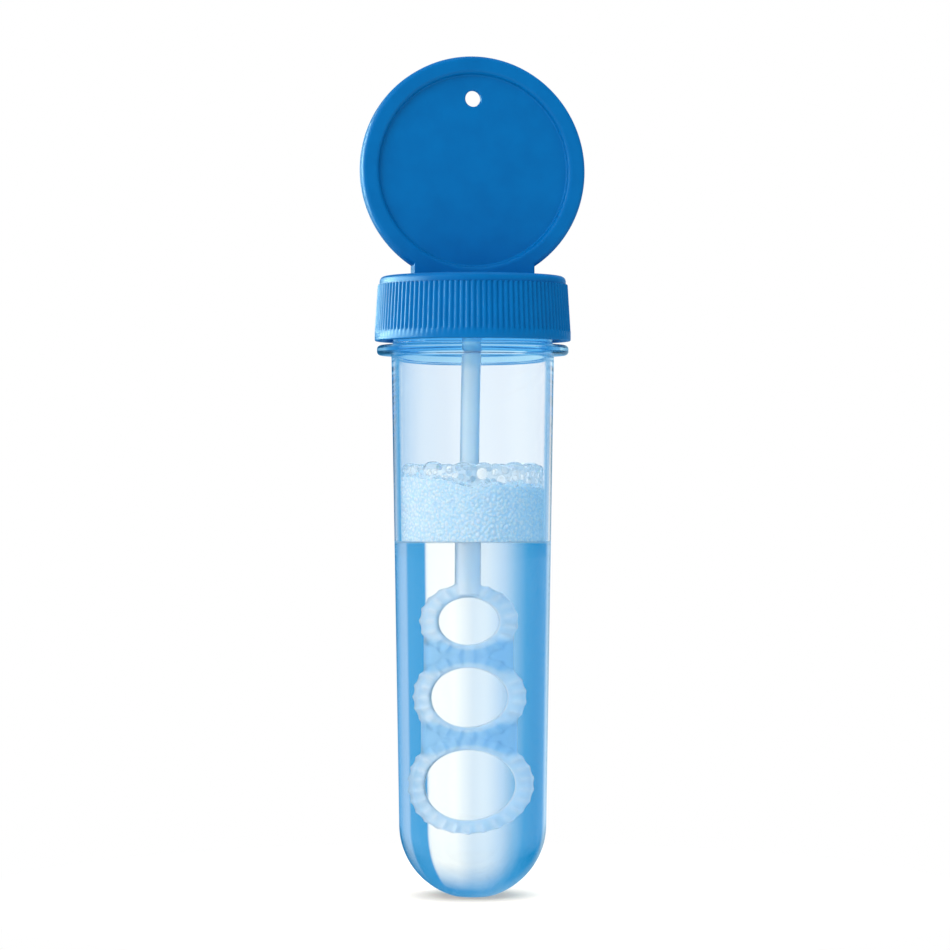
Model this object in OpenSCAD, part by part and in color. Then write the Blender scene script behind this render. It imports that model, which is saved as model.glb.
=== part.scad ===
// Bubble wand in a clear screw-capped vial: the vial holds soap solution and its froth,
// and the cap carries a round tag above and a wand with three loops below.
// The vial stands on its small flat foot at the origin, +Z runs up its axis,
// and the tag and the wand lie in the XZ plane. Millimetres.

/* [Vial] */
// Height of the vial from its foot to its mouth
vial_h = 92.7; // [91:0.1:110]
// Outer diameter of the tube just under the collar
tube_top_d = 25.2; // [24:0.1:28]
// Outer diameter of the round end
round_end_d = 22.8; // [21:0.1:23.8]
// Wall of the tube
vial_wall = 1; // [0.7:0.05:1.4]
// Thickness of the floor in the round end
floor_t = 1.2; // [0.8:0.1:3]
// Diameter of the flat foot that the vial stands on
foot_d = 6; // [4:0.1:8]

/* [Neck and thread] */
// Height of the neck from the collar to the mouth
neck_h = 7.45; // [7.1:0.05:8]
// Wall of the neck under its thread
neck_wall = 0.8; // [0.6:0.05:1.2]
// How far the collar stands out of the tube
collar_out = 2.25; // [1.5:0.05:3]
// Thickness of the collar
collar_t = 1.55; // [1.2:0.05:2.5]
// Rounding of the collar's two edges
collar_round = 0.6; // [0.2:0.05:0.6]
// Rise of the thread in one turn
thread_pitch = 3; // [2.6:0.1:3.2]
// Turns of the ridge on the neck
neck_turns = 1.5; // [1:0.1:1.5]
// Turns of the ridge in the cap
cap_turns = 1.25; // [0.8:0.05:1.4]
// Height of the ridge on the neck
neck_ridge_h = 0.7; // [0.4:0.05:0.9]
// Height of the ridge in the cap
cap_ridge_h = 0.5; // [0.3:0.05:0.8]
// Width of both ridges at their foot
ridge_w = 1.3; // [0.9:0.05:1.5]
// Height above the collar at which the neck's ridge starts
neck_ridge_start = 1.9; // [1.2:0.05:2]
// Height above the cap's lower edge at which the cap's ridge starts
cap_ridge_start = 1.2; // [0.9:0.05:2]
// Room between the two ridges
thread_room = 0.15; // [0.1:0.05:0.4]

/* [Cap] */
// Height of the cap
cap_h = 10; // [9:0.1:10.4]
// Thickness of the cap's top
cap_top_t = 2.2; // [2:0.1:3]
// Wall of the cap at its plain lower band
cap_wall = 1.45; // [1.3:0.05:2]
// How far the ribbed side leans in from its foot to its top
cap_lean = 0.46; // [0.2:0.02:0.6]
// Height of the plain lower band
band_h = 1.3; // [0.8:0.1:2]
// Height of the plain ring above the ribs
top_ring_h = 1.35; // [1.2:0.05:2]
// Step from the ribs in to the plain ring
top_ring_step = 0.3; // [0.25:0.05:0.4]
// Rounding of the cap's top edge
cap_round = 0.8; // [0.3:0.05:1]
// Number of grooves round the cap
groove_count = 108; // [60:1:120]
// Radius of one groove
groove_r = 0.27; // [0.15:0.01:0.3]
// Diameter of the boss that holds the wand
boss_d = 6.4; // [5.6:0.1:7.4]
// Length of the boss under the cap's top
boss_l = 5; // [4:0.1:6]
// Depth of the socket in the boss
socket_depth = 4.5; // [3:0.1:4.9]
// Thickness of the sealing liner
liner_t = 1; // [0.6:0.1:1.5]

/* [Tag] */
// Diameter of the tag
tag_d = 35.3; // [33:0.1:40]
// Thickness of the tag's rim
tag_t = 3; // [2.6:0.1:4]
// Width of the tag's raised rim
tag_rim_w = 2.75; // [2.2:0.05:3.2]
// Thickness of the tag's web between its two recesses
tag_web_t = 1.2; // [0.8:0.1:1.8]
// Rounding of the rim's edges
tag_round = 0.7; // [0.3:0.05:0.9]
// How far the tag's round edge dips below the top of the cap
tag_dip = 1.2; // [0.8:0.05:2]
// Width of the tag's foot on the cap
tag_foot_w = 19.1; // [16:0.1:20]
// Length of the tongue under the tag's foot
tongue_l = 13; // [8:0.1:14]
// Thickness of the tongue
tongue_t = 1.8; // [1.2:0.1:2.4]
// Depth of the tongue in the cap
tongue_depth = 1.4; // [1:0.1:1.5]
// Diameter of the hanging hole
hang_hole_d = 2.5; // [2:0.1:4]
// Rim left between the hanging hole and the tag's raised rim
hang_hole_edge = 2.5; // [1.5:0.05:4]

/* [Wand] */
// Diameter of the stem
stem_d = 3; // [2.4:0.1:3.6]
// Length of the stem from the end of its socket to the first loop
stem_l = 44.7; // [40:0.1:46]
// Hole of the first loop
loop_1_d = 7.3; // [6.5:0.1:9]
// Hole of the second loop
loop_2_d = 9.2; // [8:0.1:10]
// Hole of the third loop
loop_3_d = 10.9; // [9:0.1:12]
// Width of each loop's ring
ring_w = 2.05; // [1.6:0.05:2.4]
// Thickness of each loop's ring
ring_t = 1.8; // [1.4:0.1:2.4]
// How far one loop runs into the next
loop_merge = 0.55; // [0.1:0.05:0.8]
// Width of the web between the first and second loops
web_1_w = 10.6; // [8:0.1:11]
// Width of the web between the second and third loops
web_2_w = 11.4; // [9:0.1:12]
// Thickness of the webs
web_t = 1.4; // [1:0.1:1.8]
// Spacing of the ribs along the middle of a ring
rib_pitch = 1.55; // [1.3:0.05:2]
// Width of a rib
rib_w = 0.6; // [0.4:0.05:0.8]
// How far a rib stands out of the ring's faces
rib_h = 0.35; // [0.2:0.05:0.5]
// How far a rib stands out of the ring's edge
rib_out = 0.15; // [0.1:0.05:0.25]
// Smooth lip of the ring inside the ribs
ring_lip = 0.35; // [0.2:0.05:0.6]

/* [Solution] */
// Height of the liquid's surface above the foot
fill_h = 55; // [50:0.5:60]
// Height of the froth on the liquid
froth_h = 12.3; // [6:0.1:20]
// Room between the liquid and the vial
liquid_room = 0.2; // [0.1:0.05:0.4]
// Room that the liquid leaves beside the widest loop
slot_side_room = 0.7; // [0.4:0.1:1]
// Room that the liquid leaves on each face of the wand
slot_face_room = 1.15; // [1:0.05:1.5]

/* [Fits] */
// Room round the wand's stem in its socket
socket_room = 0.02; // [0.01:0.01:0.05]
// Room round the tag's tongue in its slot
tongue_room = 0.02; // [0.01:0.01:0.05]
// Room between the liner's edge and the ridge in the cap
liner_room = 0.25; // [0.15:0.05:0.5]
// Room between the liner's hole and the boss
liner_hole_room = 0.4; // [0.2:0.05:0.8]

/* [Hidden] */
$fn = 96;

// how far one solid of a node runs into the next, and how far a cut runs past a face
bite = 0.3;
past = 1;
// rings in one turn of a thread ridge, and the share of its width left at its crest
steps_per_turn = 36;
crest_share = 0.45;
// rings over which a ridge fades out at each end, and the height that it fades to
fade_steps = 4;
fade_least = 0.2;
// how far the tag's foot stays below the tag's recess
foot_sink = 0.15;
// steps on a rounded edge, and on the arc of a round end
round_steps = 6;
ball_steps = 20;

collar_low = vial_h - neck_h - collar_t;
collar_top = vial_h - neck_h;
round_r = round_end_d / 2;
round_z = sqrt(round_r * round_r - foot_d * foot_d / 4);
inner_round_r = round_r - vial_wall;
inner_round_z = floor_t + inner_round_r;
tube_top_r = tube_top_d / 2;
mouth_r = tube_top_r - vial_wall;
neck_r = mouth_r + neck_wall;
neck_crest_r = neck_r + neck_ridge_h;
cap_crest_r = neck_crest_r + thread_room;
cap_bore_r = cap_crest_r + cap_ridge_h;

cap_top_z = vial_h + liner_t + cap_top_t;
cap_low_z = cap_top_z - cap_h;
cap_under_z = cap_top_z - cap_top_t;
band_r = cap_bore_r + cap_wall;
band_top_z = cap_low_z + band_h;
ring_low_z = cap_top_z - top_ring_h;
rib_top_r = band_r - cap_lean;
top_ring_r = rib_top_r - top_ring_step;
side_l = norm([cap_lean, ring_low_z - band_top_z]);
side_lean = atan2(cap_lean, ring_low_z - band_top_z);
liner_r = cap_crest_r - liner_room;

tag_r = tag_d / 2;
tag_z = cap_top_z + tag_r - tag_dip;
recess_r = tag_r - tag_rim_w;
hang_hole_z = tag_z + recess_r - hang_hole_edge - hang_hole_d / 2;

stem_top_z = cap_under_z - boss_l + socket_depth;
loop_1_r = loop_1_d / 2 + ring_w;
loop_2_r = loop_2_d / 2 + ring_w;
loop_3_r = loop_3_d / 2 + ring_w;
loop_1_z = stem_top_z - stem_l - loop_1_r;
loop_2_z = loop_1_z - loop_1_r - loop_2_r + loop_merge;
loop_3_z = loop_2_z - loop_2_r - loop_3_r + loop_merge;
wand_low_z = loop_3_z - loop_3_r - rib_out;
wand_half_w = max(loop_1_r, loop_2_r, loop_3_r) + rib_out;
slot_w = 2 * (wand_half_w + slot_side_room);
slot_t = ring_t + 2 * rib_h + 2 * slot_face_room;
froth_top_z = fill_h + froth_h;

neck_ridge_z = collar_top + neck_ridge_start;
cap_ridge_z = cap_low_z + cap_ridge_start;

// How far a cone that reaches top_r at top_z leans out, where it rests on a ball
function lean_on_ball(ball_r, ball_z, top_r, top_z) =
    acos(ball_r / norm([top_r, top_z - ball_z])) - atan2(top_z - ball_z, top_r);

// Radius at height z of that cone
function cone_r(ball_r, ball_z, top_r, top_z, z) =
    top_r - (top_z - z) * tan(lean_on_ball(ball_r, ball_z, top_r, top_z));

// Points of an arc from angle a0 to a1 about a centre
function arc(centre, r, a0, a1, steps = round_steps) =
    [for (i = [0:steps]) let (a = a0 + (a1 - a0) * i / steps) centre + r * [cos(a), sin(a)]];

// Half outline of a round end: from the angle low_a on its ball up to where a cone takes over
function round_end(ball_r, ball_z, top_r, top_z, low_a = -90) =
    arc([0, ball_z], ball_r, low_a, -lean_on_ball(ball_r, ball_z, top_r, top_z), ball_steps);

function reversed(points) = [for (i = [len(points) - 1:-1:0]) points[i]];

// A right-hand helical ridge from root_r to crest_r, whose middle starts at height z0
module thread_ridge(root_r, crest_r, z0, turns) {
    n = ceil(turns * steps_per_turn);
    grow = crest_r - root_r;
    buried_r = root_r - sign(grow) * bite;
    function fade(i) = fade_least + (1 - fade_least) * min(1, i / fade_steps, (n - i) / fade_steps);
    function section(i) =
        let (a = 360 * turns * i / n)
        let (z = z0 + thread_pitch * a / 360)
        let (r = root_r + grow * fade(i))
        let (across = [[buried_r, -1], [r, -crest_share], [r, crest_share], [buried_r, 1]])
        [for (p = across) [p[0] * cos(a), p[0] * sin(a), z + p[1] * ridge_w / 2]];
    points = [for (i = [0:n]) each section(i)];
    sides = [for (i = [0:n - 1], k = [0:3])
        let (a = 4 * i + k, b = 4 * i + (k + 1) % 4)
        each [[a, b + 4, a + 4], [a, b, b + 4]]];
    last = 4 * n;
    ends = [[0, 2, 1], [0, 3, 2], [last, last + 1, last + 2], [last, last + 2, last + 3]];
    faces = concat(sides, ends);
    polyhedron(points, [for (f = faces) grow > 0 ? f : [f[0], f[2], f[1]]], convexity = 8);
}

// Half section of the vial without its thread
module vial_section() {
    collar_r = tube_top_r + collar_out;
    polygon(concat(
        [[0, 0]],
        round_end(round_r, round_z, tube_top_r, collar_low, atan2(-round_z, foot_d / 2)),
        [[tube_top_r, collar_low]],
        arc([collar_r - collar_round, collar_low + collar_round], collar_round, -90, 0),
        arc([collar_r - collar_round, collar_top - collar_round], collar_round, 0, 90),
        [[neck_r, collar_top], [neck_r, vial_h], [mouth_r, vial_h], [mouth_r, collar_low]],
        reversed(round_end(inner_round_r, inner_round_z, mouth_r, collar_low))));
}

module vial() {
    color("lightskyblue", 0.45)
    union() {
        rotate_extrude()
            vial_section();
        thread_ridge(neck_r, neck_crest_r, neck_ridge_z, neck_turns);
    }
}

// The room that the wand takes in the liquid and the froth, open at the top
module wand_slot() {
    translate([-slot_w / 2, -slot_t / 2, wand_low_z - slot_side_room])
        cube([slot_w, slot_t, froth_top_z + past - wand_low_z + slot_side_room]);
}

// What fills the vial between two heights, with a little room round it
module filling(low_z, top_z) {
    full_r = mouth_r - liquid_room;
    ball_r = inner_round_r - liquid_room;
    function at(z) = [cone_r(ball_r, inner_round_z, full_r, collar_low, z), z];
    foot = low_z > inner_round_z
        ? [[0, low_z], at(low_z)]
        : round_end(ball_r, inner_round_z, full_r, collar_low);
    rotate_extrude()
        polygon(concat(foot, [at(top_z), [0, top_z]]));
}

module bubble_solution() {
    color("powderblue", 0.6)
    difference() {
        filling(0, fill_h);
        wand_slot();
    }
}

module foam_head() {
    color("aliceblue")
    difference() {
        filling(fill_h, froth_top_z);
        wand_slot();
    }
}

module cap_liner() {
    color("whitesmoke")
    difference() {
        translate([0, 0, vial_h])
            cylinder(r = liner_r, h = liner_t);
        translate([0, 0, vial_h - past])
            cylinder(d = boss_d + 2 * liner_hole_room, h = liner_t + 2 * past);
    }
}

// Half section of the cap with its boss and socket, without its grooves and thread
module cap_section() {
    boss_low_z = cap_under_z - boss_l;
    socket_r = stem_d / 2 + socket_room;
    polygon(concat(
        [[0, stem_top_z], [socket_r, stem_top_z], [socket_r, boss_low_z], [boss_d / 2, boss_low_z]],
        [[boss_d / 2, cap_under_z], [cap_bore_r, cap_under_z]],
        [[cap_bore_r, cap_low_z], [band_r, cap_low_z]],
        [[band_r, band_top_z], [rib_top_r, ring_low_z], [top_ring_r, ring_low_z]],
        arc([top_ring_r - cap_round, cap_top_z - cap_round], cap_round, 0, 90),
        [[0, cap_top_z]]));
}

// One groove, cut along the leaning side from the plain band up past the step
module cap_groove() {
    translate([band_r, 0, band_top_z])
        rotate([0, -side_lean, 0])
            cylinder(r = groove_r, h = side_l + past / 2, $fn = 16);
}

module screw_cap() {
    color("#0a6fbe")
    union() {
        difference() {
            rotate_extrude()
                cap_section();
            for (i = [0:groove_count - 1])
                rotate([0, 0, 360 * i / groove_count])
                    cap_groove();
            translate([-tongue_l / 2 - tongue_room, -tongue_t / 2 - tongue_room, cap_top_z - tongue_depth])
                cube([tongue_l + 2 * tongue_room, tongue_t + 2 * tongue_room, tongue_depth + past]);
        }
        thread_ridge(cap_bore_r, cap_crest_r, cap_ridge_z, cap_turns);
    }
}

// Half section of the tag across its rim, with the tag's axis upright
module tag_section() {
    half = tag_t / 2;
    polygon(concat(
        [[0, -tag_web_t / 2], [recess_r, -tag_web_t / 2]],
        arc([recess_r + tag_round, -half + tag_round], tag_round, 180, 270),
        arc([tag_r - tag_round, -half + tag_round], tag_round, -90, 0),
        arc([tag_r - tag_round, half - tag_round], tag_round, 0, 90),
        arc([recess_r + tag_round, half - tag_round], tag_round, 90, 180),
        [[recess_r, tag_web_t / 2], [0, tag_web_t / 2]]));
}

module tag_disc() {
    foot_h = tag_z - recess_r - foot_sink - cap_top_z;
    color("#0a6fbe")
    difference() {
        union() {
            difference() {
                translate([0, 0, tag_z])
                    rotate([90, 0, 0])
                        rotate_extrude()
                            tag_section();
                translate([-tag_d, -tag_t, cap_top_z - tag_d])
                    cube([2 * tag_d, 2 * tag_t, tag_d]);
            }
            translate([-tag_foot_w / 2, -tag_t / 2, cap_top_z])
                cube([tag_foot_w, tag_t, foot_h]);
            translate([-tongue_l / 2, -tongue_t / 2, cap_top_z - tongue_depth])
                cube([tongue_l, tongue_t, tongue_depth + bite]);
        }
        translate([0, tag_t, hang_hole_z])
            rotate([90, 0, 0])
                cylinder(d = hang_hole_d, h = 2 * tag_t);
    }
}

// A plate-like cylinder across Y, middle at height z
module across_y(r, t, z) {
    translate([0, t / 2, z])
        rotate([90, 0, 0])
            cylinder(r = r, h = t);
}

// The short radial ribs on both faces of one loop
module loop_ribs(hole_d, z) {
    count = round(PI * (hole_d + ring_w) / rib_pitch);
    from_r = hole_d / 2 + ring_lip;
    rib_t = ring_t + 2 * rib_h;
    translate([0, 0, z])
        for (i = [0:count - 1])
            rotate([0, 360 * (i + 0.5) / count, 0])
                translate([from_r, -rib_t / 2, -rib_w / 2])
                    cube([ring_w - ring_lip + rib_out, rib_t, rib_w]);
}

// The web that joins two loops, from one centre to the other
module loop_web(w, low_z, high_z) {
    translate([-w / 2, -web_t / 2, low_z])
        cube([w, web_t, high_z - low_z]);
}

module wand() {
    loops = [[loop_1_d, loop_1_z], [loop_2_d, loop_2_z], [loop_3_d, loop_3_z]];
    color("aliceblue")
    difference() {
        union() {
            translate([0, 0, loop_1_z + loop_1_d / 2 + bite])
                cylinder(d = stem_d, h = stem_top_z - loop_1_z - loop_1_d / 2 - bite);
            for (p = loops)
                across_y(p[0] / 2 + ring_w, ring_t, p[1]);
            for (p = loops)
                loop_ribs(p[0], p[1]);
            loop_web(web_1_w, loop_2_z, loop_1_z);
            loop_web(web_2_w, loop_3_z, loop_2_z);
        }
        for (p = loops)
            across_y(p[0] / 2, 2 * ring_t + 2 * stem_d, p[1]);
    }
}

vial();
bubble_solution();
foam_head();
cap_liner();
screw_cap();
tag_disc();
wand();
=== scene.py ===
"""Looks of the bubble wand: clear vial, soap solution, froth, ribbed cap, tag, liner and looped wand.

Every piece is built in millimetres in the frame's own axes, and is scaled to metres as its mesh is made.
"""

import math
import random

import bmesh
import bpy
import numpy as np
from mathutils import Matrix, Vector


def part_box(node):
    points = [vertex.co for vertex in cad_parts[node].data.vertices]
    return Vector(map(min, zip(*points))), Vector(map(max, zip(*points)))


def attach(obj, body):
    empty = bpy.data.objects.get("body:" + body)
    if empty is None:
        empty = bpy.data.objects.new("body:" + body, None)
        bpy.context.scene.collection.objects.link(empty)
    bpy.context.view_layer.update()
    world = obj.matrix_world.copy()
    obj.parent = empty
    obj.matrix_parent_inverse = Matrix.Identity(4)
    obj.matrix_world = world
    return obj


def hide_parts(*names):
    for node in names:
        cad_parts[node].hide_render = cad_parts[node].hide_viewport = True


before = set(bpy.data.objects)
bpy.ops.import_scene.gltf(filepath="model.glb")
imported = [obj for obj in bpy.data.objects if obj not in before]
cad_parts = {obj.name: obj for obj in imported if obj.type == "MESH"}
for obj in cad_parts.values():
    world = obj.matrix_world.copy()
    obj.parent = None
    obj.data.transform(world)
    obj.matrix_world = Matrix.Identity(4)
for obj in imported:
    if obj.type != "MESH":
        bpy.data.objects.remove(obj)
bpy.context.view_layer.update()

MM = 0.001
TURN = 2 * math.pi


def box_mm(name):
    """Lowest and highest corner of a CAD node in millimetres."""
    low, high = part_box(name)
    return low / MM, high / MM


# Sizes that the frame gives
vial_low, vial_high = box_mm("vial")
cap_low, cap_high = box_mm("screw_cap")
tag_low, tag_high = box_mm("tag_disc")
liner_low, liner_high = box_mm("cap_liner")
wand_low, wand_high = box_mm("wand")
froth_low, froth_high = box_mm("foam_head")

VIAL_H = vial_high.z
COLLAR_R = vial_high.x
CAP_LOW_Z = cap_low.z
CAP_TOP_Z = cap_high.z
BAND_R = cap_high.x
TAG_R = tag_high.x
TAG_T = 2 * tag_high.y
TAG_Z = tag_high.z - TAG_R
LINER_R = liner_high.x
FILL_Z = froth_low.z
FROTH_TOP_Z = froth_high.z
STEM_TOP_Z = wand_high.z
WAND_LOW_Z = wand_low.z

# Vial
COLLAR_OUT = 2.25
COLLAR_T = 1.55
COLLAR_ROUND = 0.6
NECK_H = 7.45
NECK_WALL = 0.8
VIAL_WALL = 1.0
FLOOR_T = 1.2
FOOT_R = 3.0
ROUND_R = 11.4
LIP_ROUND = 0.25
INNER_ROUND = 0.3

TUBE_TOP_R = COLLAR_R - COLLAR_OUT
MOUTH_R = TUBE_TOP_R - VIAL_WALL
NECK_R = MOUTH_R + NECK_WALL
COLLAR_TOP_Z = VIAL_H - NECK_H
COLLAR_LOW_Z = COLLAR_TOP_Z - COLLAR_T
ROUND_Z = math.sqrt(ROUND_R**2 - FOOT_R**2)
INNER_R = ROUND_R - VIAL_WALL
INNER_Z = FLOOR_T + INNER_R

# Liner
LINER_HOLE_ROOM = 0.4
LINER_EDGE = 0.18

# Thread
THREAD_PITCH = 3.0
RIDGE_HALF_W = 0.65
RIDGE_CREST = 0.45
RIDGE_FADE_TURNS = 0.11
NECK_RIDGE_Z = COLLAR_TOP_Z + 1.9
NECK_RIDGE_H = 0.7
NECK_TURNS = 1.5
CAP_RIDGE_Z = CAP_LOW_Z + 1.2
CAP_RIDGE_H = 0.5
CAP_TURNS = 1.25

# Cap
CAP_TOP_T = 2.2
CAP_WALL = 1.45
CAP_LEAN = 0.46
BAND_H = 1.3
TOP_RING_H = 1.35
TOP_RING_STEP = 0.3
CAP_ROUND = 0.8
BAND_ROUND = 0.22
GROOVES = 108
GROOVE_DEPTH = 0.27
GROOVE_SHARE = 0.24
GROOVE_END = 0.25
RING_EDGE = (0.05, 0.06)
RING_FOOT_Z = 0.1
RING_FOOT_TOP_Z = 0.25
BOSS_R = 3.2
BOSS_L = 5.0
BOSS_ROUND = 0.2
BORE_TOP_GAP = 0.1
SOCKET_R = 1.52
CAP_UNDER_Z = CAP_TOP_Z - CAP_TOP_T
CAP_BORE_R = BAND_R - CAP_WALL

# Tag
TAG_RIM_W = 2.75
TAG_WEB_T = 1.2
TAG_ROUND = 0.7
TAG_CREASE = 0.3
TAG_FOOT_W = 19.1
TAG_FOOT_RISE = 0.55
TAG_FOOT_SINK = 0.005
TAG_FOOT_ROUND = 0.25
HANG_HOLE_R = 1.25
HANG_HOLE_EDGE = 2.5
HANG_HOLE_ROUND = 0.22
RECESS_R = TAG_R - TAG_RIM_W
HANG_HOLE_Z = TAG_Z + RECESS_R - HANG_HOLE_EDGE - HANG_HOLE_R

# Wand
STEM_R = 1.5
RING_W = 2.05
RING_T = 1.8
RIB_OUT = 0.15
RIB_H = 0.32
RIB_PITCH = 1.55
RIB_SHARE = 0.21
RING_LIP = 0.35
RING_LIP_ROUND = 0.4
RING_ROUND = 0.5
RIB_START = 0.1
RIB_FULL = 0.45
RIB_RAMP = 0.4
STEM_BITE = 0.5
STEM_EDGE = 0.2
WEB_CUT = 0.25
WEB_CUT_HALF_L = 4
LOOP_DIAMETERS = (7.3, 9.2, 10.9)
LOOP_MERGE = 0.55
WEB_WIDTHS = (10.6, 11.4)
WEB_T = 1.4
WEB_ROUND = 0.35
WAND_VOXEL = 0.15
WAND_SET = 0.6
WAND_SET_REACH = 12.0

# Froth
FROTH_GAP = 0.05
FROTH_SINK = 0.02
FROTH_RELIEF = 0.6
FINE_DIP = 2.3
FINE_SLANT = 1.2
FINE_HIGH_SIDE = math.radians(138)
FINE_WAVES = ((0.3, 5, 1), (0.2, 9, 2))
CLEAR_GAP = 0.3
CLEAR_DEPTH = 4.6
NO_BUBBLE = (0.0, 0.0)
FINE_BUBBLE = (0.22, 0.45)
MIDDLE_BUBBLE = (0.4, 0.9)
LARGE_BUBBLE = (0.5, 1.25)
TOP_BUBBLE = (0.7, 1.4)
BUBBLE_NEAREST = 0.9
WALL_TRIES = 26000
DISC_TRIES = 8000
DISC_EDGE = 0.5
TOP_INSET = 0.25
TOP_DOME = 0.55
LOW_INSET = 0.06
LOW_DOME = 0.65
DEEPEST_FILM = 0.6
LIQUID_BITE = 0.03

# How much painted shade the wand's plastic gets, from 0 to 1, as a deeper blue that stands in for shade
# and the blue seen through it, and where one part fades into the next
STEM_SHADE_LOW = 0.15
STEM_SHADE_HIGH = 0.45
GROOVE_SHADE = 0.3
WEB_REACH = 1.4
WEB_FADE = 1.2
WEB_SIDE = 0.4
WEB_SIDE_FADE = 0.5
LIP_CLEARANCE = 0.4
LIP_FADE = 0.6
CREST_SHARE = 0.7

# Mesh counts
VIAL_SEGMENTS = 192
BALL_STEPS = 40
NECK_STEPS = 44
FROTH_SEGMENTS = 720
FROTH_LEVELS = 84
FROTH_CIRCLES = 56
LINER_SEGMENTS = 128
BORE_STEPS = 40
RIB_STEPS = 24
GROOVE_SEGMENTS = 8
TAG_SEGMENTS = 256
HOLE_SEGMENTS = 64
LOOP_RIB_SEGMENTS = 14
LOOP_HOLE_SEGMENTS = 96
STEM_SEGMENTS = 64

# Camera: the photo's frame in pixels, and where the object's axis and foot are in it
PHOTO_SIDE = 950
PHOTO_AXIS_X = 472.7
PHOTO_FOOT_Y = 895
PHOTO_MM = 0.15513
CAMERA_AZIMUTH = math.radians(-12)
CAMERA_DISTANCE = 560
SENSOR = 36.0

# Light: what the surroundings add all round, how much the floor glows and how much more of that the
# camera sees, and in metres how far the painted contact shadow in that glow reaches and where the floor
# turns white
AMBIENT = (0.33, 0.39, 0.42, 1)
FLOOR_GLOW = 0.36
FLOOR_SHOWN = 0.4
SHADOW_REACH = 0.014
FLOOR_WHITE_FROM = 0.02
FLOOR_WHITE_AT = 0.08


def arc(centre, radius, start, end, steps=8):
    """Points of an arc in a half section, from one angle to another in degrees."""
    angles = np.radians(np.linspace(start, end, steps + 1))
    return [(centre[0] + radius * math.cos(a), centre[1] + radius * math.sin(a)) for a in angles]


def straight(start, end, steps):
    """Points of a straight stretch, both ends included."""
    return [tuple(p) for p in np.linspace(start, end, steps + 1)]


def close_mesh(mesh, sharp=40):
    """Turns the faces outward and smooths all but the sharp edges."""
    work = bmesh.new()
    work.from_mesh(mesh)
    bmesh.ops.recalc_face_normals(work, faces=work.faces)
    for face in work.faces:
        face.smooth = True
    for edge in work.edges:
        edge.smooth = edge.calc_face_angle(0) < math.radians(sharp)
    work.to_mesh(mesh)
    work.free()


def skin(name, rings, loop=False, sharp=40):
    """A closed mesh through rings of points.

    A ring of one point closes an end. A loop's last ring meets its first.
    """
    points = []
    starts = []
    for ring in rings:
        starts.append((len(points), len(ring)))
        points += [tuple(c * MM for c in p) for p in ring]
    faces = []
    for (a, a_count), (b, b_count) in zip(starts, starts[1:] + (starts[:1] if loop else [])):
        count = max(a_count, b_count)
        for k in range(count):
            m = (k + 1) % count
            corners = (a + k % a_count, a + m % a_count, b + m % b_count, b + k % b_count)
            faces.append(list(dict.fromkeys(corners)))
    mesh = bpy.data.meshes.new(name)
    mesh.from_pydata(points, [], faces)
    close_mesh(mesh, sharp)
    made = bpy.data.objects.new(name, mesh)
    bpy.context.scene.collection.objects.link(made)
    return made


def revolve(name, outline, segments, relief=None, loop=False, sharp=40):
    """A solid of revolution about Z. relief(i, angles) is what point i's radius gains at each angle."""
    angles = np.arange(segments) * TURN / segments
    rings = []
    for i, (r, z) in enumerate(outline):
        if r == 0:
            rings.append([(0, 0, z)])
            continue
        radii = r + (relief(i, angles) if relief else np.zeros(segments))
        level = np.full(segments, z)
        rings.append(np.column_stack((radii * np.cos(angles), radii * np.sin(angles), level)))
    return skin(name, rings, loop, sharp)


def settle(obj):
    """Applies an object's modifiers to its mesh."""
    shape = obj.evaluated_get(bpy.context.evaluated_depsgraph_get())
    mesh = bpy.data.meshes.new_from_object(shape)
    obj.modifiers.clear()
    obj.data = mesh


def combine(target, tool, operation):
    """Joins a tool to a target or cuts it away, and drops the tool."""
    change = target.modifiers.new(operation, "BOOLEAN")
    change.operation = operation
    change.solver = "EXACT"
    change.object = tool
    settle(target)
    bpy.data.objects.remove(tool)


def lean_on_ball(ball_r, ball_z, top_r, top_z):
    """How far a cone that reaches top_r at top_z leans out where it rests on a ball, in degrees."""
    reach = math.hypot(top_r, top_z - ball_z)
    return math.degrees(math.acos(ball_r / reach) - math.atan2(top_z - ball_z, top_r))


def inner_wall_r(z):
    """Radius of the vial's inside at a height above its round end."""
    lean = math.radians(lean_on_ball(INNER_R, INNER_Z, MOUTH_R, COLLAR_LOW_Z))
    return MOUTH_R - (COLLAR_LOW_Z - z) * math.tan(lean)


def ridge(angles, z, start_z, turns, height):
    """Height of a right-hand thread ridge at each angle for one level."""
    most = np.zeros_like(angles)
    for lap in range(math.ceil(turns)):
        travel = angles / TURN + lap
        fade = np.clip(np.minimum(travel, turns - travel) / RIDGE_FADE_TURNS, 0, 1)
        off = np.abs(z - start_z - THREAD_PITCH * travel)
        flank = np.clip((RIDGE_HALF_W - off) / (RIDGE_HALF_W * (1 - RIDGE_CREST)), 0, 1)
        most = np.maximum(most, height * fade * flank * flank * (3 - 2 * flank))
    return most


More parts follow.
